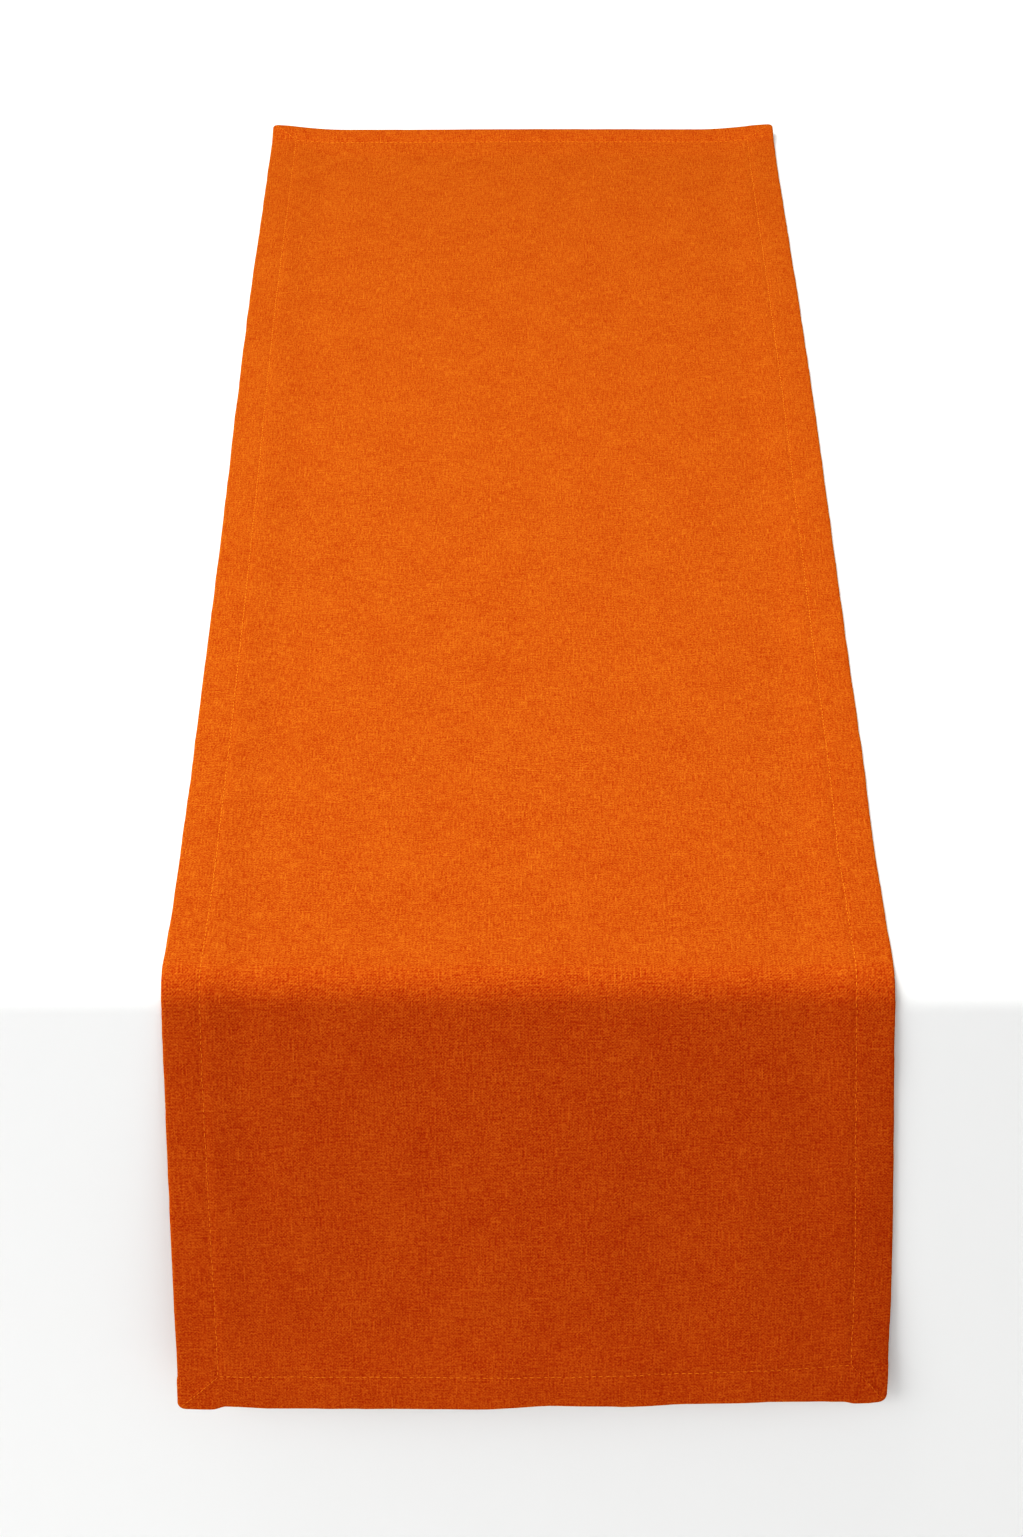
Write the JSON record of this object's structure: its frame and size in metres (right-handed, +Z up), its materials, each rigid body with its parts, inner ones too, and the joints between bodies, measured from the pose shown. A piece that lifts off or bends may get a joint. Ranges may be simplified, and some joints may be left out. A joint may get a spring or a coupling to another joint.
{
  "type": "table runner",
  "caption": "Plain woven cloth runner with wide mitred, topstitched hems, lying flat along a table with one end hanging over the front edge in a straight drop.",
  "frame": {"origin": "centre of the underside of the stretch that lies flat on the table", "axes": "+Y along the runner away from the drop, +X across it, +Z up from the table; the drop hangs at -Y and reaches down to -Z"},
  "size_m": [0.4, 1.2728, 0.2685],
  "materials": {
    "runner_cloth": "matte",
    "hem_cloth": "matte",
    "needle_thread": "satin",
    "bobbin_thread": "satin",
    "seam_thread": "satin"
  },
  "bodies": {
    "runner_top": {"panel_top": "runner_cloth", "hem_far": "hem_cloth", "hem_left_top": "hem_cloth", "hem_right_top": "hem_cloth", "topstitch_far": "needle_thread", "topstitch_left_top": "needle_thread", "topstitch_right_top": "needle_thread", "bobbin_far": "bobbin_thread", "bobbin_left_top": "bobbin_thread", "bobbin_right_top": "bobbin_thread", "mitre_seam_far_left": "seam_thread", "mitre_seam_far_right": "seam_thread"},
    "runner_drop": {"panel_drop": "runner_cloth", "hem_near": "hem_cloth", "hem_left_drop": "hem_cloth", "hem_right_drop": "hem_cloth", "topstitch_near": "needle_thread", "topstitch_left_drop": "needle_thread", "topstitch_right_drop": "needle_thread", "bobbin_near": "bobbin_thread", "bobbin_left_drop": "bobbin_thread", "bobbin_right_drop": "bobbin_thread", "mitre_seam_near_left": "seam_thread", "mitre_seam_near_right": "seam_thread"}
  },
  "joints": [
    {"name": "drop_fold", "type": "hinge", "parent": "runner_top", "child": "runner_drop", "pos_m": [0, -0.62315, -0.00256], "axis": [-1, 0, 0], "range_deg": [0, 82.5]}
  ]
}
